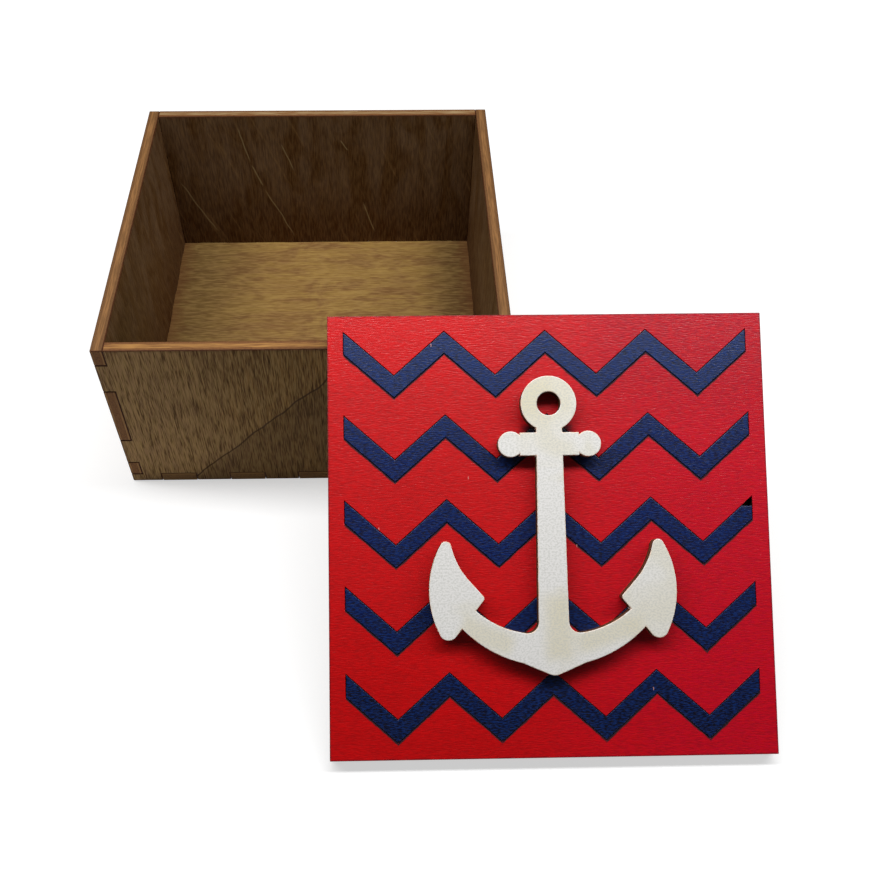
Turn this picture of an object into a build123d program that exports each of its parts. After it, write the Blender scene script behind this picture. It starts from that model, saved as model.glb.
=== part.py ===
from build123d import *
import math
import os

# A small plywood box for papers and keepsakes, with finger-jointed walls and a lift-off lid.
# The lid is off the box: it leans on the front rim, moved to the right.
# Millimetres, +Z up. The origin is the middle of the box's underside, and the front looks along -Y.

# Box
box_width = 100.0
box_depth = 100.0
box_height = 50.0
wall_ply = 3.0
floor_ply = 3.0

# Finger joints: the tabs that lock the walls and the floor together
finger = 9.3
middle_tab = 18.6
shortest_tab = 2.0
joint_gap = 0.1

# Lid: a face panel glued on a liner plate that drops inside the walls
lid_overhang = 0.0
lid_ply = 3.0
liner_ply = 3.0
liner_clearance = 0.3

# Zigzag inlays, each let into its own slot through the face panel
inlay_rows = 5
inlay_half_waves = 8
inlay_margin = 3.6
inlay_rise = 10.2
inlay_band = 5.3
inlay_gap = 0.15
chipped_row = 3
chip_height = 2.4

# Anchor cut from pale plywood: ring, stock and shank
anchor_ply = 3.0
anchor_height = 67.1
anchor_lift = 1.7
ring_radius = 6.3
ring_hole_radius = 2.7
stock_drop = 15.5
stock_bar_length = 13.4
stock_bar_height = 5.2
knob_radius = 2.9
knob_reach = 8.75
shank_top_width = 5.7
shank_foot_width = 6.8

# Anchor's crown and arms: reaches from the middle line, heights above the crown's point
crown_reach = 7.0
crown_height = 3.0
crown_round = 3.0
arm_top_sag = 1.35
arm_under_sag = 1.1
arm_root_height = 9.35
arm_root_round = 2.5

# Anchor's flukes: reach of their two points, and how far inside those their other corners lie
fluke_top_reach = 22.9
fluke_foot_reach = 23.6
fluke_bulge = 4.35
fluke_top_height = 32.2
fluke_top_round = 1.25
fluke_hollow = 1.1
fluke_foot_height = 6.6
fluke_foot_round = 2.1
foot_notch_inset = 3.2
foot_notch_height = 10.7
barb_back_inset = 4.5
barb_back_height = 21.0
barb_notch_inset = 5.6
barb_notch_height = 14.6
barb_length = 2.2
barb_rise = 2.7
barb_round = 0.8

# How the lid leans: its liner stands on the table and lies on the rim near its upper edge
liner_overreach = 2.9
lean_gap = 0.2
lid_sideways = 56.1

# Sizes that follow from the ones above
inner_width = box_width - 2 * wall_ply
inner_depth = box_depth - 2 * wall_ply
lid_width = box_width + 2 * lid_overhang
lid_depth = box_depth + 2 * lid_overhang
liner_width = inner_width - 2 * liner_clearance
liner_depth = inner_depth - 2 * liner_clearance
inlay_length = lid_width - 2 * inlay_margin
inlay_pitch = (lid_depth - 2 * inlay_margin - inlay_rise - inlay_band) / (inlay_rows - 1)


def floor_tab_count(length):
    """As many floor tabs as one wall of this length has room for, a finger apart."""
    room = length - 2 * (wall_ply + shortest_tab)
    return int((room + finger) // (2 * finger))


def corner_tabs():
    """Heights, low and high, of the tabs that the front and back walls send to each corner."""
    middle = (floor_ply + box_height) / 2
    room = (box_height - floor_ply) / 2 - shortest_tab
    spans = []
    reach = middle_tab / 2
    while reach + finger <= room:
        spans.append((middle - reach - finger, middle - reach))
        spans.append((middle + reach, middle + reach + finger))
        reach += 2 * finger
    return sorted(spans)


def wall_sketch(length, corner_spans, full_foot):
    """Face of one wall, its foot at zero height: the span between corners, then its tabs."""
    inner = length - 2 * wall_ply
    with BuildSketch() as face:
        with Locations((0, box_height / 2)):
            Rectangle(inner, box_height)
        for low, high in corner_spans:
            with Locations((0, (low + high) / 2)):
                Rectangle(length, high - low)
        if full_foot:
            with Locations((0, (floor_ply - joint_gap) / 2)):
                Rectangle(length, floor_ply - joint_gap)
        with Locations((0, floor_ply / 2)):
            with GridLocations(2 * finger, floor_ply, floor_tab_count(length), 1):
                Rectangle(finger + 2 * joint_gap, floor_ply, mode=Mode.SUBTRACT)
    return face.sketch


# Front and back walls run the full width at the floor and at their own tabs
end_spans = [(low + joint_gap, high - joint_gap) for low, high in corner_tabs()]
end_wall = wall_sketch(box_width, end_spans, full_foot=True)

with BuildPart() as front_panel:
    with BuildSketch(Plane.XZ.offset(box_depth / 2)):
        add(end_wall)
    extrude(amount=-wall_ply)

with BuildPart() as back_panel:
    with BuildSketch(Plane.XZ.offset(-box_depth / 2)):
        add(end_wall)
    extrude(amount=wall_ply)

# Side walls fill the corners between those tabs, up to the rim
corner_levels = [floor_ply] + [level for span in corner_tabs() for level in span] + [box_height]
side_spans = list(zip(corner_levels[0::2], corner_levels[1::2]))
side_wall = wall_sketch(box_depth, side_spans, full_foot=False)

with BuildPart() as left_panel:
    with BuildSketch(Plane.YZ.offset(-box_width / 2)):
        add(side_wall)
    extrude(amount=wall_ply)

with BuildPart() as right_panel:
    with BuildSketch(Plane.YZ.offset(box_width / 2)):
        add(side_wall)
    extrude(amount=-wall_ply)

# Floor: lies between the walls, flush with their feet, with tabs through all four of them
with BuildPart() as bottom_panel:
    with BuildSketch():
        Rectangle(inner_width, inner_depth)
        with GridLocations(2 * finger, box_depth, floor_tab_count(box_width), 1):
            Rectangle(finger, box_depth)
        with GridLocations(box_width, 2 * finger, 1, floor_tab_count(box_depth)):
            Rectangle(box_width, finger)
    extrude(amount=floor_ply)

# Where the lid leans: the plane of its outer face, local +Y up the slope, origin at its middle
lean_reach = liner_depth - liner_overreach
lean_sin = (box_height + lean_gap) / lean_reach
lean_cos = math.sqrt(1 - lean_sin**2)
lid_thickness = lid_ply + liner_ply
foot_y = -box_depth / 2 - lean_reach * lean_cos
lid_origin = (
    lid_sideways,
    foot_y + liner_depth / 2 * lean_cos - lid_thickness * lean_sin,
    liner_depth / 2 * lean_sin + lid_thickness * lean_cos,
)
lid_face = Plane(origin=lid_origin, x_dir=(1, 0, 0), z_dir=(0, -lean_sin, lean_cos))


def zigzag_points(row):
    """Corners of one slot, row 1 at the top: along its upper edge and back along its lower one."""
    peak = lid_depth / 2 - inlay_margin - (row - 1) * inlay_pitch
    step = inlay_length / inlay_half_waves
    upper = [
        (-inlay_length / 2 + index * step, peak - inlay_rise * (index % 2))
        for index in range(inlay_half_waves + 1)
    ]
    lower = [(x, y - inlay_band) for x, y in reversed(upper)]
    return upper + lower


with BuildPart() as lid_panel:
    with BuildSketch(lid_face):
        Rectangle(lid_width, lid_depth)
        for row in range(1, inlay_rows + 1):
            with BuildLine():
                Polyline(*zigzag_points(row), close=True)
            make_face(mode=Mode.SUBTRACT)
    extrude(amount=-lid_ply)

with BuildPart() as lid_liner:
    with BuildSketch(lid_face.offset(-lid_ply)):
        Rectangle(liner_width, liner_depth)
    extrude(amount=-liner_ply)


def chevron_inlay(row):
    """One zigzag strip, a saw's width smaller all round than its slot."""
    with BuildPart() as inlay:
        with BuildSketch(lid_face):
            with BuildLine():
                Polyline(*zigzag_points(row), close=True)
            make_face()
            offset(amount=-inlay_gap, kind=Kind.INTERSECTION)
            if row == chipped_row:
                # The upper point at the right-hand end has broken off along the grain
                peak = max(y for x, y in zigzag_points(row))
                with Locations((inlay_length / 2, peak)):
                    Rectangle(inlay_band, 2 * chip_height, mode=Mode.SUBTRACT)
        extrude(amount=-lid_ply)
    return inlay


# Anchor: drawn on the lid's face, its crown's point at the foot of its height
anchor_foot = anchor_lift - anchor_height / 2
ring_height = anchor_height - ring_radius
stock_height = anchor_height - stock_drop
crown_point = (0, 0)
crown_corner = (crown_reach, crown_height)
foot_notch = (fluke_foot_reach - foot_notch_inset, foot_notch_height)
fluke_foot = (fluke_foot_reach, fluke_foot_height)
fluke_top = (fluke_top_reach, fluke_top_height)
barb_back = (fluke_top_reach - barb_back_inset, barb_back_height)
barb_notch = (fluke_top_reach - barb_notch_inset, barb_notch_height)
barb_point = (barb_notch[0] - barb_length, barb_notch[1] + barb_rise)
arm_root = (shank_foot_width / 2, arm_root_height)
shank_top = (shank_top_width / 2, ring_height)
side_corners = [
    (arm_root, arm_root_round),
    (fluke_foot, fluke_foot_round),
    (fluke_top, fluke_top_round),
    (barb_point, barb_round),
]
rounded_corners = [(crown_point, crown_round)] + [
    ((side * reach, height), radius) for (reach, height), radius in side_corners for side in (1, -1)
]

with BuildSketch() as anchor_outline:
    with BuildLine():
        Line(crown_point, crown_corner)
        SagittaArc(crown_corner, foot_notch, -arm_under_sag)
        Line(foot_notch, fluke_foot)
        SagittaArc(fluke_foot, fluke_top, -fluke_bulge)
        SagittaArc(fluke_top, barb_back, fluke_hollow)
        Polyline(barb_back, barb_point, barb_notch)
        SagittaArc(barb_notch, arm_root, arm_top_sag)
        Polyline(arm_root, shank_top, (0, ring_height))
        mirror(about=Plane.YZ)
    make_face()
    for corner, radius in rounded_corners:
        fillet(anchor_outline.vertices().sort_by_distance(corner)[0], radius)
    with Locations((0, stock_height)):
        Rectangle(stock_bar_length, stock_bar_height)
    with Locations((-knob_reach, stock_height), (knob_reach, stock_height)):
        Circle(knob_radius)
    with Locations((0, ring_height)):
        Circle(ring_radius)
        Circle(ring_hole_radius, mode=Mode.SUBTRACT)

with BuildPart() as anchor:
    with BuildSketch(lid_face):
        with Locations((0, anchor_foot)):
            add(anchor_outline.sketch)
    extrude(amount=anchor_ply)

pieces = {
    "front_panel": front_panel,
    "back_panel": back_panel,
    "left_panel": left_panel,
    "right_panel": right_panel,
    "bottom_panel": bottom_panel,
    "lid_panel": lid_panel,
    "lid_liner": lid_liner,
    "anchor": anchor,
}
for row in range(1, inlay_rows + 1):
    pieces[f"chevron_inlay_{row}"] = chevron_inlay(row)

os.makedirs("parts", exist_ok=True)
for name, piece in pieces.items():
    piece.part.label = name
    export_step(piece.part, f"parts/{name}.step")
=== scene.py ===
import bpy
import math
from mathutils import Euler, Matrix, Vector


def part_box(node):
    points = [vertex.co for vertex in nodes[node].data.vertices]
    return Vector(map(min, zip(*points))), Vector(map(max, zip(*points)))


# A small plywood box with a red lid, set up as it was photographed: box open, lid leaning on the
# front rim. The pieces are dressed in the order in which the box is put together.
# Objects are measured in metres. Places and sizes on a board are in millimetres from its middle:
# along its face grain, across it, and out of its good face.

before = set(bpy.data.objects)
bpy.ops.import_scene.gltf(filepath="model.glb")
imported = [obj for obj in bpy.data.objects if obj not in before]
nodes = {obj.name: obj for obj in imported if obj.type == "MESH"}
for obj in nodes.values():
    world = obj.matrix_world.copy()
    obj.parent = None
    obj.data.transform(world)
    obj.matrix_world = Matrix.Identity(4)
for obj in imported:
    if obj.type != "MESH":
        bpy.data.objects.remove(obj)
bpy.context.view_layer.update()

# Walls: four panels of 3 mm birch plywood, laser-cut with tabs at the corners and slots for the
# floor's tabs, stained brown and glued. The face grain stands upright. The cut edges took the
# stain redder and show the plies: end grain is dark, long grain is pale and streaky.

UP = Vector((0, 0, 1))
ACROSS = Vector((1, 0, 0))
BACKWARD = Vector((0, 1, 0))

wall_outward = {
    "front_panel": -BACKWARD,
    "back_panel": BACKWARD,
    "left_panel": -ACROSS,
    "right_panel": ACROSS,
}
wall_height = 50.0
wall_length = 100.0
broken_edge = 0.0002


def display_colour(red, green, blue):
    """The linear colour of a colour as a display shows it, each part 0 to 255."""
    parts = [part / 255 for part in (red, green, blue)]
    linear = [part / 12.92 if part < 0.04 else ((part + 0.055) / 1.055) ** 2.4 for part in parts]
    return (*linear, 1.0)


def add_node(tree, kind, inputs=None, **settings):
    """A shader node with its settings, each input linked to a socket or set to a value."""
    made = tree.nodes.new(kind)
    for name, value in settings.items():
        setattr(made, name, value)
    for name, value in (inputs or {}).items():
        if isinstance(value, bpy.types.NodeSocket):
            tree.links.new(value, made.inputs[name])
        else:
            made.inputs[name].default_value = value
    return made


def calculate(tree, operation, first, second=0.0):
    """One calculation on two values."""
    return add_node(tree, "ShaderNodeMath", {0: first, 1: second}, operation=operation).outputs[0]


def fade(tree, value, start, end, low=0.0, high=1.0):
    """A smooth change from low to high while the value goes from start to end."""
    inputs = {"Value": value, "From Min": start, "From Max": end, "To Min": low, "To Max": high}
    return add_node(tree, "ShaderNodeMapRange", inputs, interpolation_type="SMOOTHSTEP").outputs[0]


def mix_colours(tree, amount, first, second):
    """The first colour with an amount of the second one mixed in."""
    inputs = {0: amount, 6: first, 7: second}
    return add_node(tree, "ShaderNodeMix", inputs, data_type="RGBA").outputs[2]


def grain_noise(tree, vector, per_mm, detail=2.0, distortion=0.0):
    """Noise, 0.5 on average, with these waves per millimetre along, across and through a board."""
    stretched = add_node(tree, "ShaderNodeVectorMath", {0: vector, 1: per_mm}, operation="MULTIPLY")
    inputs = {
        "Vector": stretched.outputs[0],
        "Scale": 1.0,
        "Detail": detail,
        "Distortion": distortion,
    }
    return add_node(tree, "ShaderNodeTexNoise", inputs).outputs[0]


def shader_group(name, inputs, outputs):
    """A new node group with these sockets: it, what its input gives, and what its output takes."""
    group = bpy.data.node_groups.new(name, "ShaderNodeTree")
    for label, kind in inputs.items():
        group.interface.new_socket(label, in_out="INPUT", socket_type="NodeSocket" + kind)
    for label, kind in outputs.items():
        group.interface.new_socket(label, in_out="OUTPUT", socket_type="NodeSocket" + kind)
    given = group.nodes.new("NodeGroupInput").outputs
    taken = group.nodes.new("NodeGroupOutput").inputs
    return group, given, taken


def use_group(tree, group, inputs):
    """A group placed in a material with its own values and links: what it gives."""
    return add_node(tree, "ShaderNodeGroup", inputs, node_tree=group).outputs


# Rotary-cut veneer: broad stain clouds that may swirl, drawn-out bands and ribbons, dark pores,
# pale lines, and slanting rays
veneer_inputs = {
    "Board": "Vector",
    "Light": "Color",
    "Dark": "Color",
    "Pore": "Color",
    "Pale": "Color",
    "Figure": "Float",
    "Pores": "Float",
    "Flecks": "Float",
    "Fleck waves": "Vector",
    "Ribbons": "Float",
    "Swirl": "Float",
    "Rays": "Float",
    "Slant": "Float",
}
veneer_outputs = {"Color": "Color", "Height": "Float", "Pore mask": "Float"}
veneer_figure, given, taken = shader_group("veneer_figure", veneer_inputs, veneer_outputs)
board = given["Board"]
cloud_waves = (0.05, 0.09, 0.6)
band_waves = (0.016, 0.16, 0.5)
ribbon_waves = (0.05, 0.75, 0.75)
ray_waves = (0.028, 0.5, 0.9)
other_place = (53.0, 17.0, 29.0)
clouds = grain_noise(veneer_figure, board, cloud_waves, detail=3.0, distortion=given["Swirl"])
bands = grain_noise(veneer_figure, board, band_waves, detail=4.0, distortion=1.4)
clouds_and_bands = calculate(veneer_figure, "ADD", clouds, bands)
tone = fade(veneer_figure, clouds_and_bands, 0.78, 1.22)
tone = calculate(veneer_figure, "MULTIPLY", tone, given["Figure"])
ribbons = grain_noise(veneer_figure, board, ribbon_waves, detail=2.0, distortion=0.7)
ribbon_tone = fade(veneer_figure, ribbons, 0.4, 0.64)
ribbon_tone = calculate(veneer_figure, "MULTIPLY", ribbon_tone, given["Ribbons"])
tone = calculate(veneer_figure, "MAXIMUM", tone, ribbon_tone)
veneer_colour = mix_colours(veneer_figure, tone, given["Light"], given["Dark"])
elsewhere = add_node(
    veneer_figure, "ShaderNodeVectorMath", {0: board, 1: other_place}, operation="ADD"
).outputs[0]
dark_pores = grain_noise(veneer_figure, board, given["Fleck waves"], detail=1.0)
pale_lines = grain_noise(veneer_figure, elsewhere, given["Fleck waves"], detail=1.0)
pore_mask = fade(veneer_figure, dark_pores, 0.64, 0.34)
pore_mask = calculate(veneer_figure, "MULTIPLY", pore_mask, given["Pores"])
pale_mask = fade(veneer_figure, pale_lines, 0.38, 0.66)
pale_mask = calculate(veneer_figure, "MULTIPLY", pale_mask, given["Flecks"])
veneer_colour = mix_colours(veneer_figure, pore_mask, veneer_colour, given["Pore"])
veneer_colour = mix_colours(veneer_figure, pale_mask, veneer_colour, given["Pale"])
slant_inputs = {"Vector": board, "Angle": given["Slant"]}
slanted = add_node(
    veneer_figure, "ShaderNodeVectorRotate", slant_inputs, rotation_type="Z_AXIS"
).outputs[0]
slanting_rays = grain_noise(veneer_figure, slanted, ray_waves, detail=2.0, distortion=0.8)
ray_mask = fade(veneer_figure, slanting_rays, 0.6, 0.74)
ray_mask = calculate(veneer_figure, "MULTIPLY", ray_mask, given["Rays"])
veneer_colour = mix_colours(veneer_figure, ray_mask, veneer_colour, given["Pale"])
veneer_figure.links.new(veneer_colour, taken["Color"])
veneer_figure.links.new(calculate(veneer_figure, "ADD", dark_pores, pale_lines), taken["Height"])
veneer_figure.links.new(pore_mask, taken["Pore mask"])

# Cut edge of plywood: two face veneers and a core, long grain or end grain by turns, with glue
# lines between them that wander a little
ply_inputs = {
    "Board": "Vector",
    "Long grain": "Color",
    "End grain": "Color",
    "Glue": "Color",
    "Across": "Float",
}
ply_outputs = {"Color": "Color", "Height": "Float"}
ply_layers, given, taken = shader_group("ply_layers", ply_inputs, ply_outputs)
board = given["Board"]
glue_depth = 0.75
glue_blur = 0.05
glue_wander = 0.6
wander_waves = (0.2, 0.2, 0.0)
layer_streak_waves = (0.16, 0.16, 3.6)
layer_fleck_waves = (1.6, 1.6, 2.6)
through = add_node(ply_layers, "ShaderNodeSeparateXYZ", {0: board}).outputs[2]
wander = grain_noise(ply_layers, board, wander_waves, detail=1.0)
wander = calculate(ply_layers, "SUBTRACT", wander, 0.5)
wander = calculate(ply_layers, "MULTIPLY", wander, glue_wander)
depth = calculate(ply_layers, "ABSOLUTE", calculate(ply_layers, "ADD", through, wander))
veneer_part = fade(ply_layers, depth, glue_depth - glue_blur, glue_depth + glue_blur)
core_part = calculate(ply_layers, "SUBTRACT", 1.0, veneer_part)
end_inputs = {0: given["Across"], 2: core_part, 3: veneer_part}
end_part = add_node(ply_layers, "ShaderNodeMix", end_inputs).outputs[0]
streaks = grain_noise(ply_layers, board, layer_streak_waves, detail=2.0)
flecks = grain_noise(ply_layers, board, layer_fleck_waves, detail=2.0)
streak_amount = fade(ply_layers, streaks, 0.4, 0.6, high=0.9)
long_colour = mix_colours(ply_layers, streak_amount, given["Long grain"], given["End grain"])
fleck_amount = fade(ply_layers, flecks, 0.45, 0.7, high=0.6)
end_colour = mix_colours(ply_layers, fleck_amount, given["End grain"], given["Glue"])
layer_colour = mix_colours(ply_layers, end_part, long_colour, end_colour)
from_glue = calculate(ply_layers, "ABSOLUTE", calculate(ply_layers, "SUBTRACT", depth, glue_depth))
glue_line = fade(ply_layers, from_glue, 0.04, 0.14, low=0.4, high=0.0)
layer_colour = mix_colours(ply_layers, glue_line, layer_colour, given["Glue"])
ply_layers.links.new(layer_colour, taken["Color"])
ply_layers.links.new(calculate(ply_layers, "ADD", streaks, flecks), taken["Height"])

# Border of a rectangular board, worn on the walls and lid and painted shade along the floor's
# side walls: how near the surface is to the board's outer edges
border_inputs = {"Board": "Vector", "Half length": "Float", "Half width": "Float", "Reach": "Float"}
board_border, given, taken = shader_group("board_border", border_inputs, {"Mask": "Float"})
patch_waves = (0.5, 0.5, 0.5)
place = add_node(board_border, "ShaderNodeSeparateXYZ", {0: given["Board"]}).outputs
along = calculate(board_border, "ABSOLUTE", place[0])
across = calculate(board_border, "ABSOLUTE", place[1])
to_end = calculate(board_border, "SUBTRACT", given["Half length"], along)
to_side = calculate(board_border, "SUBTRACT", given["Half width"], across)
nearest = calculate(board_border, "MINIMUM", to_end, to_side)
uneven = grain_noise(board_border, given["Board"], patch_waves, detail=3.0)
uneven = fade(board_border, uneven, 0.3, 0.7, low=0.6, high=1.4)
uneven_reach = calculate(board_border, "MULTIPLY", uneven, given["Reach"])
near = calculate(board_border, "DIVIDE", nearest, uneven_reach)
board_border.links.new(fade(board_border, near, 0.0, 1.0, low=1.0, high=0.0), taken["Mask"])

# One drawn-out mark on a board, such as a ray, a dark seam or a nick, and what lies to its left
mark_inputs = {
    "Board": "Vector",
    "Middle": "Vector",
    "Angle": "Float",
    "Half length": "Float",
    "Half width": "Float",
    "Waver": "Float",
}
mark_outputs = {"Mask": "Float", "Left side": "Float"}
streak_mark, given, taken = shader_group("streak_mark", mark_inputs, mark_outputs)
waver_waves = (0.12, 0.12, 0.12)
from_middle_inputs = {0: given["Board"], 1: given["Middle"]}
from_middle = add_node(
    streak_mark, "ShaderNodeVectorMath", from_middle_inputs, operation="SUBTRACT"
)
turn_inputs = {"Vector": from_middle.outputs[0], "Angle": given["Angle"]}
turned = add_node(
    streak_mark, "ShaderNodeVectorRotate", turn_inputs, rotation_type="Z_AXIS", invert=True
)
place = add_node(streak_mark, "ShaderNodeSeparateXYZ", {0: turned.outputs[0]}).outputs
sway = grain_noise(streak_mark, given["Board"], waver_waves)
sway = calculate(streak_mark, "SUBTRACT", sway, 0.5)
sway = calculate(streak_mark, "MULTIPLY", sway, given["Waver"])
aside = calculate(streak_mark, "ADD", place[1], sway)
along = calculate(streak_mark, "ABSOLUTE", place[0])
along = calculate(streak_mark, "DIVIDE", along, given["Half length"])
across = calculate(streak_mark, "ABSOLUTE", aside)
across = calculate(streak_mark, "DIVIDE", across, given["Half width"])
within_length = fade(streak_mark, along, 0.6, 1.0, low=1.0, high=0.0)
within_width = fade(streak_mark, across, 0.2, 1.0, low=1.0, high=0.0)
on_mark = calculate(streak_mark, "MULTIPLY", within_length, within_width)
streak_mark.links.new(on_mark, taken["Mask"])
streak_mark.links.new(fade(streak_mark, aside, -2.0, 2.0), taken["Left side"])

one_millimetre = (0.001, 0.001, 0.001)


def board_turn(grain, outward):
    """How a board is turned: its X along the grain and its Z out of its good face."""
    return Matrix((grain, outward.cross(grain), outward)).transposed().to_euler()


def start_material(name, middle, grain, outward, grain_place):
    """A new material: it, its tree, its shader, and a point on the board in mm, as it is and moved
    to where this board's grain is taken from."""
    material = bpy.data.materials.new(name)
    material.use_nodes = True
    tree = material.node_tree
    coordinates = tree.nodes.new("ShaderNodeTexCoord").outputs["Object"]
    inputs = {
        "Vector": coordinates,
        "Location": middle,
        "Rotation": board_turn(grain, outward),
        "Scale": one_millimetre,
    }
    board = add_node(tree, "ShaderNodeMapping", inputs, vector_type="TEXTURE").outputs[0]
    moved_inputs = {0: board, 1: grain_place}
    moved = add_node(tree, "ShaderNodeVectorMath", moved_inputs, operation="ADD").outputs[0]
    return material, tree, tree.nodes["Principled BSDF"], board, moved


def finish_surface(tree, shader, colour, height, relief, roughness, gloss=0.5):
    """Joins colour, relief and roughness to the shader. Relief is the bump's depth in metres."""
    bump = add_node(tree, "ShaderNodeBump", {"Height": height, "Distance": relief, "Strength": 1.0})
    tree.links.new(bump.outputs[0], shader.inputs["Normal"])
    tree.links.new(colour, shader.inputs["Base Color"])
    if isinstance(roughness, bpy.types.NodeSocket):
        tree.links.new(roughness, shader.inputs["Roughness"])
    else:
        shader.inputs["Roughness"].default_value = roughness
    shader.inputs["Specular IOR Level"].default_value = gloss


def streak(start, end, half_width, waver=0.0):
    """Where a mark lies, from one end to the other: places along and across the board, in mm."""
    along, across = end[0] - start[0], end[1] - start[1]
    return {
        "Middle": ((start[0] + end[0]) / 2, (start[1] + end[1]) / 2, 0.0),
        "Angle": math.atan2(across, along),
        "Half length": math.hypot(along, across) / 2,
        "Half width": half_width,
        "Waver": waver,
    }


def add_marks(tree, board, colour, marks, mark_colour, strength):
    """The colour with marks of another colour on it."""
    for mark in marks:
        mask = use_group(tree, streak_mark, {**mark, "Board": board})["Mask"]
        colour = mix_colours(tree, calculate(tree, "MULTIPLY", mask, strength), colour, mark_colour)
    return colour


def washed_veneer(tree, board, moved, stain, washes_and_painted_light):
    """Veneer in this stain, with broad washes of stain and of painted light and shade: place,
    colour and strength.
    """
    washed = {shade: stain[shade] for shade in ("Light", "Dark")}
    for place, wash_colour, strength in washes_and_painted_light:
        for shade in washed:
            washed[shade] = add_marks(tree, board, washed[shade], [place], wash_colour, strength)
    return use_group(tree, veneer_figure, {**stain, **washed, "Board": moved})


outer_stain = {
    "Light": display_colour(182, 138, 76),
    "Dark": display_colour(120, 83, 40),
    "Pore": display_colour(74, 49, 21),
    "Pale": display_colour(206, 167, 106),
    "Figure": 0.9,
    "Pores": 0.8,
    "Flecks": 0.68,
    "Fleck waves": (0.28, 3.9, 3.9),
    "Ribbons": 0.8,
    "Swirl": 0.8,
    "Rays": 0.05,
    "Slant": math.radians(24),
}
inner_stain = {
    "Light": display_colour(112, 87, 63),
    "Dark": display_colour(86, 56, 26),
    "Pore": display_colour(52, 28, 8),
    "Pale": display_colour(160, 126, 80),
    "Figure": 1.0,
    "Pores": 0.4,
    "Flecks": 0.2,
    "Fleck waves": (0.3, 2.8, 2.8),
    "Ribbons": 0.3,
    "Swirl": 1.6,
    "Rays": 0.2,
    "Slant": math.radians(24),
}
# Brown of burnt edges, and of the painted shade along the floor's side walls
burn_and_shade_brown = display_colour(104, 60, 34)
foot_shade_colour = display_colour(70, 34, 3)
front_light_colour = display_colour(198, 156, 108)
left_front_shade_colour = display_colour(66, 48, 24)
rim_edge = {
    "Long grain": display_colour(170, 123, 66),
    "End grain": display_colour(122, 80, 42),
    "Glue": display_colour(92, 52, 28),
}
side_rim_edge = {
    "Long grain": display_colour(142, 100, 58),
    "End grain": display_colour(110, 76, 42),
    "Glue": display_colour(92, 56, 30),
}
rim_edges = {
    "front_panel": rim_edge,
    # The back rim's long grain is greyer: a painted sheen
    "back_panel": {**rim_edge, "Long grain": display_colour(158, 132, 94)},
    "left_panel": side_rim_edge,
    "right_panel": side_rim_edge,
}
corner_edge = {
    "Long grain": display_colour(186, 136, 80),
    "End grain": display_colour(150, 100, 52),
    "Glue": display_colour(84, 50, 24),
}

# Figure seen in the photograph: pale rays inside the back wall, and a dark slanting seam in the
# front wall's veneer. Places are heights above the wall's middle, then distances to its left as
# seen from outside.
back_rays = [
    streak((3.0, -45.0), (-18.0, -35.0), 0.35, 1.5),
    streak((22.0, -24.4), (8.5, -21.6), 0.3, 1.0),
    streak((8.5, -21.6), (0.0, -18.5), 0.35, 1.0),
    streak((0.0, -18.5), (-20.0, -10.0), 0.3, 1.5),
    streak((16.0, -11.9), (5.5, -8.2), 0.3, 1.0),
    streak((16.8, 6.3), (12.9, 8.6), 0.3),
    streak((-5.6, 12.6), (-18.5, 16.3), 0.3, 1.0),
]
ray_colour = display_colour(176, 156, 112)
front_seam = streak((-45.0, 54.4), (45.0, -35.6), 0.4, 2.2)

# Broad washes: inside, painted shade makes the foot of each wall darker and redder, and the front
# of the left one darker; outside, painted light makes the left of the front wall paler
foot_painted_shade = (streak((-25.0, -90.0), (-25.0, 90.0), 32.0, 12.0), foot_shade_colour, 0.75)
front_painted_light = (streak((-60.0, 44.0), (60.0, 52.0), 40.0, 14.0), front_light_colour, 0.7)
left_front_painted_shade = (streak((-25.0, -60.0), (25.0, -60.0), 70.0, 12.0), left_front_shade_colour, 0.8)

veneer_relief = 0.00004
ray_strength = 0.45
seam_strength = 0.9
# How much painted shade darkens the wood to the right of the front wall's seam
seam_painted_shade = 0.38


def stained_veneer(
    name, placing, half_size, stain, reach=1.2, burn_and_shade=0.5, washes_and_painted_light=(), rays=(), seam=None
):
    """Brown stained face veneer, darker along the board's outer edges, as far from its middle in mm
    as half_size says; on the floor that is painted shade along the side walls. It can have washes
    of stain and of painted light and shade, pale rays, and a seam with darker wood on its right,
    deepened by painted shade."""
    material, tree, shader, board, moved = start_material(name, *placing)
    figure = washed_veneer(tree, board, moved, stain, washes_and_painted_light)
    colour = add_marks(tree, board, figure["Color"], rays, ray_colour, ray_strength)
    if seam:
        seam_sides = use_group(tree, streak_mark, {**seam, "Board": board})
        painted_shade_right = fade(tree, seam_sides["Left side"], 0.0, 1.0, low=seam_painted_shade, high=0.0)
        colour = mix_colours(tree, painted_shade_right, colour, stain["Pore"])
        seam_line = calculate(tree, "MULTIPLY", seam_sides["Mask"], seam_strength)
        colour = mix_colours(tree, seam_line, colour, stain["Pore"])
    border_inputs = {"Half length": half_size[0], "Half width": half_size[1], "Reach": reach}
    border = use_group(tree, board_border, {**border_inputs, "Board": board})["Mask"]
    colour = mix_colours(tree, calculate(tree, "MULTIPLY", border, burn_and_shade), colour, burn_and_shade_brown)
    roughness = fade(tree, figure["Pore mask"], 0.0, 1.0, low=0.55, high=0.8)
    finish_surface(tree, shader, colour, figure["Height"], veneer_relief, roughness, gloss=0.14)
    return material


def cut_edge(name, placing, across, stain):
    """The cut edge of a board; across is 1 where the cut runs across the face grain, or else 0."""
    material, tree, shader, board, _ = start_material(name, *placing)
    layers = use_group(tree, ply_layers, {**stain, "Across": across, "Board": board})
    finish_surface(
        tree, shader, layers["Color"], layers["Height"], relief=0.00006, roughness=0.65, gloss=0.25
    )
    return material


scorch_waves = (0.6, 0.6, 0.6)


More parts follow.
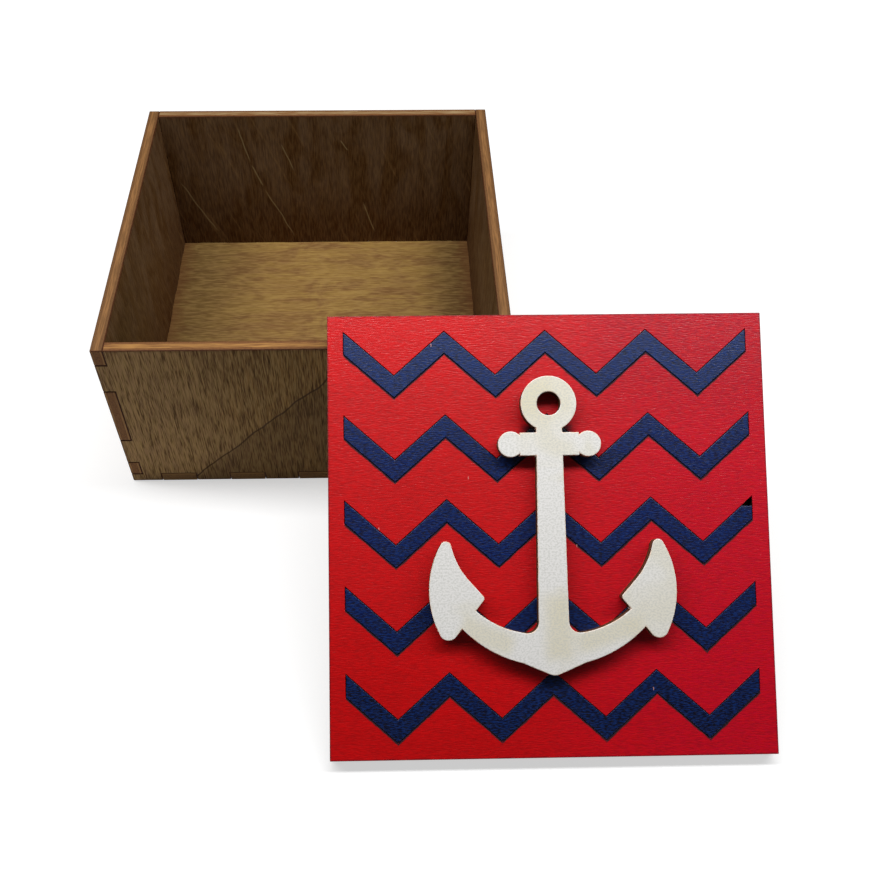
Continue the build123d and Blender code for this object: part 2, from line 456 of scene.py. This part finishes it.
def scorched_edge(name, placing, colour):
    """The narrow dark line where the laser scorched a board's edges."""
    material, tree, shader, _, moved = start_material(name, *placing)
    patches = grain_noise(tree, moved, scorch_waves)
    paler = mix_colours(tree, 0.35, colour, burn_and_shade_brown)
    scorch = mix_colours(tree, fade(tree, patches, 0.4, 0.6), colour, paler)
    finish_surface(tree, shader, scorch, patches, relief=0.00002, roughness=0.7, gloss=0.2)
    return material


GOOD_FACE, BACK_FACE, ACROSS_GRAIN, ALONG_GRAIN, BROKEN_EDGE = range(5)
faces_outward = 0.9
cut_across_grain = 0.7
same_point = 0.000002
same_plane = math.radians(0.5)
sharp_corner = math.radians(40)


def dress_board(piece, grain, outward, materials, edge_width):
    """Puts the materials on a board and breaks its edges. They are: good face, back face, edge cut
    across the grain, edge cut along it, and broken edge."""
    mesh = piece.data
    mesh.materials.clear()
    for material in materials:
        mesh.materials.append(material)
    for polygon in mesh.polygons:
        facing = polygon.normal.dot(outward)
        if abs(facing) > faces_outward:
            polygon.material_index = GOOD_FACE if facing > 0 else BACK_FACE
        elif abs(polygon.normal.dot(grain)) > cut_across_grain:
            polygon.material_index = ACROSS_GRAIN
        else:
            polygon.material_index = ALONG_GRAIN
    weld = piece.modifiers.new("weld", "WELD")
    weld.merge_threshold = same_point
    flatten = piece.modifiers.new("flatten", "DECIMATE")
    flatten.decimate_type = "DISSOLVE"
    flatten.angle_limit = same_plane
    flatten.delimit = {"MATERIAL"}
    bevel = piece.modifiers.new("broken edges", "BEVEL")
    bevel.width = edge_width
    bevel.segments = 2
    bevel.limit_method = "ANGLE"
    bevel.angle_limit = sharp_corner
    bevel.material = BROKEN_EDGE


wall_half = (wall_height / 2, wall_length / 2)
grain_step = Vector((37.0, 61.0, 23.0))
wall_scorch = display_colour(76, 42, 20)
for number, (name, outward) in enumerate(wall_outward.items(), start=1):
    low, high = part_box(name)
    placing = ((low + high) / 2, UP, outward, grain_step * number)
    outside_marks = {"washes_and_painted_light": [front_painted_light], "seam": front_seam} if name == "front_panel" else {}
    outside = stained_veneer(name + "_outside", placing, wall_half, outer_stain, **outside_marks)
    inside_washes = [foot_painted_shade, left_front_painted_shade] if name == "left_panel" else [foot_painted_shade]
    inside_rays = back_rays if name == "back_panel" else ()
    inside_marks = {"washes_and_painted_light": inside_washes, "rays": inside_rays}
    inside = stained_veneer(name + "_inside", placing, wall_half, inner_stain, **inside_marks)
    rim = cut_edge(name + "_rim", placing, across=1.0, stain=rim_edges[name])
    corner = cut_edge(name + "_corner_edge", placing, across=0.0, stain=corner_edge)
    scorch = scorched_edge(name + "_scorch", placing, wall_scorch)
    dress_board(nodes[name], UP, outward, [outside, inside, rim, corner, scorch], broken_edge)

# Floor: one square of the same stained plywood between the walls, held by tabs through all four.
# Its grain runs from side to side, and painted shade darkens it towards the side walls.

floor_stain = {
    **outer_stain,
    "Light": display_colour(157, 124, 66),
    "Dark": display_colour(124, 87, 52),
    "Pore": display_colour(88, 60, 26),
    "Pale": display_colour(186, 152, 92),
    "Pores": 0.28,
    "Flecks": 0.32,
    "Fleck waves": (0.3, 2.8, 2.8),
    "Ribbons": 0.4,
    "Swirl": 3.0,
    "Rays": 0.0,
}
tab_edge = {
    "Long grain": display_colour(168, 126, 70),
    "End grain": display_colour(146, 106, 56),
    "Glue": display_colour(92, 60, 32),
}
# Dark laser scorch for the floor's and liner's edges, darkened further as painted contact shade
# where they meet the table
scorch_and_contact_shade = display_colour(60, 32, 16)
floor_grain = Vector((211.0, 87.0, 5.0))
floor_low, floor_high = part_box("bottom_panel")
floor_placing = ((floor_low + floor_high) / 2, ACROSS, UP, floor_grain)
floor_half = (47.0, 47.0)
floor_painted_shade = [
    (streak((-47.0, -70.0), (-47.0, 70.0), 34.0, 10.0), display_colour(100, 76, 42), 0.72),
    (streak((47.0, -70.0), (47.0, 70.0), 19.0, 5.0), display_colour(88, 64, 36), 0.8),
]

# The border is longer than the floor from front to back, so its painted shade darkens only
# along the side walls
side_wall_shade_border = (47.0, 60.0)
floor_marks = {"washes_and_painted_light": floor_painted_shade, "reach": 6.0}
floor_face = stained_veneer("floor_veneer", floor_placing, side_wall_shade_border, floor_stain, **floor_marks)
floor_under = stained_veneer("floor_underside", floor_placing, floor_half, outer_stain)
floor_end = cut_edge("floor_end_edge", floor_placing, across=1.0, stain=tab_edge)
floor_long = cut_edge("floor_long_edge", floor_placing, across=0.0, stain=tab_edge)
floor_scorch = scorched_edge("floor_scorch", floor_placing, scorch_and_contact_shade)
floor_materials = [floor_face, floor_under, floor_end, floor_long, floor_scorch]
floor_broken_edge = 0.00008
dress_board(nodes["bottom_panel"], ACROSS, UP, floor_materials, floor_broken_edge)

# Lid liner: a plain stained plate glued under the lid's face, which drops inside the walls.
# It carries the inlays and keeps the lid in place. Only its edges show in most views.

# The lid's lean: how far it rises, in mm, over how long a stretch of its slope
lean_rise = 50.2
lean_reach = 90.5
lean = math.asin(lean_rise / lean_reach)
lid_outward = Vector((0, -math.sin(lean), math.cos(lean)))

liner_grain = Vector((150.0, 20.0, 40.0))
liner_low, liner_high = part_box("lid_liner")
liner_placing = ((liner_low + liner_high) / 2, ACROSS, lid_outward, liner_grain)
liner_half = (46.7, 46.7)
liner_face = stained_veneer("liner_veneer", liner_placing, liner_half, outer_stain)
liner_end = cut_edge("liner_end_edge", liner_placing, across=1.0, stain=corner_edge)
liner_long = cut_edge("liner_long_edge", liner_placing, across=0.0, stain=corner_edge)
liner_scorch = scorched_edge("liner_scorch", liner_placing, scorch_and_contact_shade)
liner_materials = [liner_face, liner_face, liner_end, liner_long, liner_scorch]
dress_board(nodes["lid_liner"], ACROSS, lid_outward, liner_materials, broken_edge)

# Lid face: 3 mm plywood stained red, its grain from side to side, with five zigzag slots sawn
# through it by laser. The cuts are charred nearly black, and so are its outer edges, more lightly.

lid_grain = Vector((0.0, 0.0, 0.0))
lid_low, lid_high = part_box("lid_panel")
lid_placing = ((lid_low + lid_high) / 2, ACROSS, lid_outward, lid_grain)
lid_half = (50.0, 50.0)
lid_broken_edge = 0.0001
slot_rows = 5
slot_first_peak = 46.4
slot_pitch = 19.325
slot_band = 5.3
slot_rise = 10.2
slot_half_wave = 11.6
slot_half_length = 46.4
red_stain = {
    "Light": display_colour(218, 1, 8),
    "Dark": display_colour(204, 1, 6),
    "Pore": display_colour(150, 1, 6),
    "Pale": display_colour(240, 8, 12),
    "Figure": 0.8,
    "Pores": 0.36,
    "Flecks": 0.4,
    "Fleck waves": (0.7, 4.4, 4.4),
    "Ribbons": 0.5,
    "Swirl": 0.8,
    "Rays": 0.0,
    "Slant": 0.0,
}
# Char of the cut edges, also used for painted shade below the slots and at the anchor's neck
red_char_and_shade = display_colour(36, 0, 20)
charred_edge = {
    "Long grain": display_colour(60, 30, 18),
    "End grain": display_colour(40, 18, 10),
    "Glue": display_colour(20, 8, 6),
}

# Painted shade along the lower side of each zigzag slot
slot_shade_inputs = {"Board": "Vector", "Reach": "Float"}
slot_painted_shade, given, taken = shader_group("slot_painted_shade", slot_shade_inputs, {"Mask": "Float"})
slot_shade_waves = (0.4, 0.4, 0.4)
place = add_node(slot_painted_shade, "ShaderNodeSeparateXYZ", {0: given["Board"]}).outputs
from_end = calculate(slot_painted_shade, "ADD", place[0], slot_half_length)
wave = calculate(slot_painted_shade, "PINGPONG", from_end, slot_half_wave)
fall = calculate(slot_painted_shade, "MULTIPLY", wave, slot_rise / slot_half_wave)
upper_side = calculate(slot_painted_shade, "SUBTRACT", slot_first_peak, fall)
below_upper = calculate(slot_painted_shade, "SUBTRACT", upper_side, place[1])
in_row = calculate(slot_painted_shade, "FLOORED_MODULO", below_upper, slot_pitch)
below_slot = calculate(slot_painted_shade, "SUBTRACT", in_row, slot_band)
uneven = grain_noise(slot_painted_shade, given["Board"], slot_shade_waves, detail=3.0)
uneven = calculate(slot_painted_shade, "MULTIPLY", uneven, 2.0)
uneven_reach = calculate(slot_painted_shade, "MULTIPLY", uneven, given["Reach"])
past_slot = calculate(slot_painted_shade, "DIVIDE", below_slot, uneven_reach)
slot_shade = fade(slot_painted_shade, past_slot, 0.3, 1.0, low=1.0, high=0.0)
from_middle = calculate(slot_painted_shade, "ABSOLUTE", place[0])
limits = [
    calculate(slot_painted_shade, "LESS_THAN", from_middle, slot_half_length),
    calculate(slot_painted_shade, "GREATER_THAN", below_upper, 0.0),
    calculate(slot_painted_shade, "LESS_THAN", below_upper, slot_pitch * slot_rows),
    calculate(slot_painted_shade, "GREATER_THAN", below_slot, 0.0),
]
for limit in limits:
    slot_shade = calculate(slot_painted_shade, "MULTIPLY", slot_shade, limit)
slot_painted_shade.links.new(slot_shade, taken["Mask"])

# Nicks in the stain, down to pale wood: places from the lid's middle, to the right and up the slope
nick_places = [(-26.2, 43.1), (22.2, 45.6), (22.4, -35.2), (6.1, -3.2), (-18.2, 12.5), (-38.6, 1.2)]
nick_half_height = 0.4
nick_half_width = 0.14
nicks = [
    streak((right, up - nick_half_height), (right, up + nick_half_height), nick_half_width)
    for right, up in nick_places
]
bare_wood = display_colour(240, 176, 166)

# Painted shade in the corners between the anchor's ring, neck and stock
neck_painted_shade = [streak((-7.0, 23.4), (7.0, 23.4), 1.6)]

# Broad washes on the red: painted sheen, paler towards the top and across the middle; crimson to
# the right; lighter at the top left and darker at the top right
red_washes_and_sheen = [
    (streak((-70.0, 52.0), (70.0, 52.0), 60.0, 8.0), display_colour(212, 32, 38), 0.5),
    (streak((-70.0, 4.0), (70.0, 4.0), 34.0, 8.0), display_colour(214, 26, 32), 0.4),
    (streak((60.0, -90.0), (60.0, 90.0), 80.0, 12.0), display_colour(208, 0, 54), 0.55),
    (streak((-60.0, 42.0), (-10.0, 46.0), 12.0, 8.0), display_colour(232, 4, 12), 0.6),
    (streak((4.0, 46.0), (84.0, 36.0), 24.0, 6.0), display_colour(176, 10, 40), 0.7),
]

border_reach = 0.45
border_strength = 0.6
slot_shade_reach = 0.6
rough_burn_and_shade = 0.9


def lid_veneer(name, stain, washes_and_painted_light, char_and_shade, smooth, rough):
    """Coloured face veneer on the lid, darkened by painted shade along the lower side of the slots
    and by char along the lid's outer edges. Its pores are rough, and the rest is smooth."""
    material, tree, shader, board, moved = start_material(name, *lid_placing)
    figure = washed_veneer(tree, board, moved, stain, washes_and_painted_light)
    border_inputs = {"Half length": lid_half[0], "Half width": lid_half[1], "Reach": border_reach}
    border = use_group(tree, board_border, {**border_inputs, "Board": board})["Mask"]
    border = calculate(tree, "MULTIPLY", border, border_strength)
    slot_shade = use_group(tree, slot_painted_shade, {"Board": board, "Reach": slot_shade_reach})["Mask"]
    burn_and_shade = calculate(tree, "MAXIMUM", border, slot_shade)
    colour = mix_colours(tree, burn_and_shade, figure["Color"], char_and_shade)
    colour = add_marks(tree, board, colour, nicks, bare_wood, strength=0.7)
    colour = add_marks(tree, board, colour, neck_painted_shade, char_and_shade, strength=0.9)
    roughness = fade(tree, figure["Pore mask"], 0.0, 1.0, low=smooth, high=rough)
    burn_and_shade_roughness = calculate(tree, "MULTIPLY", burn_and_shade, rough_burn_and_shade)
    roughness = calculate(tree, "MAXIMUM", roughness, burn_and_shade_roughness)
    finish_surface(tree, shader, colour, figure["Height"], veneer_relief, roughness, gloss=0.56)
    return material


red_face = lid_veneer("red_veneer", red_stain, red_washes_and_sheen, red_char_and_shade, smooth=0.37, rough=0.45)
lid_back = stained_veneer("lid_back_veneer", lid_placing, lid_half, outer_stain)
lid_char = cut_edge("lid_charred_edge", lid_placing, across=1.0, stain=charred_edge)
lid_materials = [red_face, lid_back, lid_char, lid_char, red_face]
dress_board(nodes["lid_panel"], ACROSS, lid_outward, lid_materials, lid_broken_edge)

# Zigzag inlays: five strips of the same plywood stained blue, pressed into the slots and glued to
# the liner, with the saw's gap left round them. One has lost the point of its right-hand end.

blue_stain = {
    "Light": display_colour(0, 16, 76),
    "Dark": display_colour(0, 9, 54),
    "Pore": display_colour(0, 0, 20),
    "Pale": display_colour(10, 54, 128),
    "Figure": 0.8,
    "Pores": 0.8,
    "Flecks": 0.62,
    "Fleck waves": (1.0, 4.2, 4.2),
    "Ribbons": 0.2,
    "Swirl": 0.6,
    "Rays": 0.0,
    "Slant": 0.0,
}
# Char of the cut edges, also used for painted shade at the anchor's neck
blue_char_and_shade = display_colour(8, 8, 30)

# Broad washes on the blue: painted sheen towards the top of the lid, and painted shade, nearly
# black, at its foot
blue_sheen_and_shade = [
    (streak((-70.0, 52.0), (70.0, 52.0), 40.0, 8.0), display_colour(32, 54, 104), 0.7),
    (streak((-70.0, -52.0), (70.0, -52.0), 40.0, 8.0), display_colour(0, 0, 26), 0.9),
]
blue_face = lid_veneer("blue_veneer", blue_stain, blue_sheen_and_shade, blue_char_and_shade, smooth=0.38, rough=0.46)
inlay_materials = [blue_face, lid_back, lid_char, lid_char, blue_face]
for row in range(1, slot_rows + 1):
    inlay = nodes[f"chevron_inlay_{row}"]
    dress_board(inlay, ACROSS, lid_outward, inlay_materials, lid_broken_edge)

# Anchor: cut from 3 mm plywood, painted off-white on its face and glued on the lid. The paint is
# thin, so the wood's cream shows in clouds and along the edges. The cut sides are charred brown.

paint_white = display_colour(255, 253, 250)
paint_cream = display_colour(242, 236, 212)
paint_thin = display_colour(238, 230, 198)
paint_dull = display_colour(214, 215, 208)
paint_edge = display_colour(252, 230, 206)

# Where the paint is thinnest: round the ring, at the foot of the shank and along both arms
thin_paint_places = [
    streak((-12.0, 31.0), (8.0, 31.0), 10.0),
    streak((-12.0, 30.0), (2.0, 30.0), 8.0),
    streak((1.0, -30.0), (1.0, -12.0), 5.0, 3.0),
    streak((-22.0, -20.0), (-8.0, -26.0), 4.0, 3.0),
    streak((3.0, -25.0), (22.0, -20.0), 4.0, 3.0),
]
paint_cloud_waves = (0.055, 0.07, 0.1)
speckle_waves = (2.0, 2.6, 2.0)
thin_spot_waves = (0.7, 0.7, 0.7)

anchor_paint, tree, shader, board, moved = start_material("anchor_paint", *lid_placing)
paint_clouds = grain_noise(tree, moved, paint_cloud_waves, detail=3.0, distortion=0.8)
cream_amount = fade(tree, paint_clouds, 0.5, 0.7, high=0.6)
paint_colour = mix_colours(tree, cream_amount, paint_white, paint_cream)
paint_colour = add_marks(tree, board, paint_colour, thin_paint_places, paint_thin, strength=0.6)
speckle = grain_noise(tree, moved, speckle_waves, detail=1.0)
speckle_amount = fade(tree, speckle, 0.42, 0.62, high=0.45)
paint_colour = mix_colours(tree, speckle_amount, paint_colour, paint_dull)
finish_surface(tree, shader, paint_colour, speckle, relief=0.00003, roughness=0.5, gloss=0.35)

edge_paint, tree, shader, _, moved = start_material("anchor_thin_paint", *lid_placing)
thin_spots = grain_noise(tree, moved, thin_spot_waves, detail=2.0)
thin_colour = mix_colours(tree, fade(tree, thin_spots, 0.4, 0.65), paint_edge, paint_white)
finish_surface(tree, shader, thin_colour, thin_spots, relief=0.00002, roughness=0.55)

anchor_broken_edge = 0.00028
anchor_low, anchor_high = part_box("anchor")
anchor_placing = ((anchor_low + anchor_high) / 2, ACROSS, lid_outward, lid_grain)
anchor_edge = {
    "Long grain": display_colour(112, 78, 48),
    "End grain": display_colour(76, 46, 26),
    "Glue": display_colour(34, 18, 10),
}
anchor_side = cut_edge("anchor_charred_side", anchor_placing, across=1.0, stain=anchor_edge)
anchor_materials = [anchor_paint, lid_back, anchor_side, anchor_side, edge_paint]
dress_board(nodes["anchor"], ACROSS, lid_outward, anchor_materials, anchor_broken_edge)

# Table and light: a plain pale floor that keeps the box's shadow, a white surround, and one long
# soft lamp straight above, from left to right, as the photograph's shadows say.

WHITE = (1, 1, 1, 1)
table_grey = (0.6, 0.6, 0.6, 1)
table_size = 3.0
table_gap = 0.0002
table_mesh = bpy.data.meshes.new("table")
half = table_size / 2
table_corners = [(-half, -half, 0), (half, -half, 0), (half, half, 0), (-half, half, 0)]
table_mesh.from_pydata(table_corners, [], [(0, 1, 2, 3)])
table = bpy.data.objects.new("table", table_mesh)
table.location = (0, 0, -table_gap)
bpy.context.scene.collection.objects.link(table)

table_material = bpy.data.materials.new("table")
table_material.use_nodes = True
tree = table_material.node_tree
shader = tree.nodes["Principled BSDF"]
shader.inputs["Base Color"].default_value = table_grey
shader.inputs["Roughness"].default_value = 0.9
shader.inputs["Specular IOR Level"].default_value = 0.0

# To the camera and in reflections the table is white from some way off. Nearer the box it is
# less white, so that the shadow shows.
grey_until = 0.14
white_from = 0.34
near_whiteness = 0.58
rays = add_node(tree, "ShaderNodeLightPath").outputs
mirrored = calculate(tree, "MAXIMUM", rays["Is Glossy Ray"], rays["Is Transmission Ray"])
seen = calculate(tree, "MAXIMUM", rays["Is Camera Ray"], mirrored)
coordinates = tree.nodes.new("ShaderNodeTexCoord").outputs["Object"]
from_box = add_node(
    tree, "ShaderNodeVectorMath", {0: coordinates}, operation="LENGTH"
).outputs["Value"]
whiteness = fade(tree, from_box, grey_until, white_from, low=near_whiteness, high=1.0)
tree.links.new(calculate(tree, "MULTIPLY", seen, whiteness), shader.inputs["Emission Strength"])
shader.inputs["Emission Color"].default_value = WHITE
table_mesh.materials.append(table_material)

# The surround is white to the camera, and gives only a little light
ambient = 0.03
world = bpy.data.worlds.new("studio")
bpy.context.scene.world = world
world.use_nodes = True
tree = world.node_tree
background = tree.nodes["Background"]
rays = add_node(tree, "ShaderNodeLightPath").outputs
background.inputs["Color"].default_value = WHITE
brightness = fade(tree, rays["Is Camera Ray"], 0.0, 1.0, low=ambient, high=1.0)
tree.links.new(brightness, background.inputs["Strength"])

lamp_length = 1.0
lamp_width = 0.07
lamp_power = 2.4
lamp_place = (0.04, -0.01, 0.34)
lamp_data = bpy.data.lights.new("soft_lamp", "AREA")
lamp_data.shape = "RECTANGLE"
lamp_data.size = lamp_length
lamp_data.size_y = lamp_width
lamp_data.energy = lamp_power
lamp = bpy.data.objects.new("soft_lamp", lamp_data)
lamp.location = lamp_place
lamp.visible_camera = False
bpy.context.scene.collection.objects.link(lamp)

# Camera: where the photograph was taken from, worked out from the box's corners. The photograph is
# a crop, so its middle lies a little off the lens's axis.

camera_place = (0.01988, -0.21481, 0.21525)
camera_degrees = (38.465, -0.358, -1.15)
camera_data = bpy.data.cameras.new("camera")
camera_data.lens = 40.746
camera_data.sensor_width = 36.0
camera_data.shift_x = 0.03365
camera_data.shift_y = 0.02845
camera_data.clip_start = 0.01
camera = bpy.data.objects.new("camera", camera_data)
camera.location = camera_place
camera.rotation_euler = Euler([math.radians(angle) for angle in camera_degrees])
bpy.context.scene.collection.objects.link(camera)
bpy.context.scene.camera = camera

bpy.context.scene.view_settings.view_transform = "Standard"
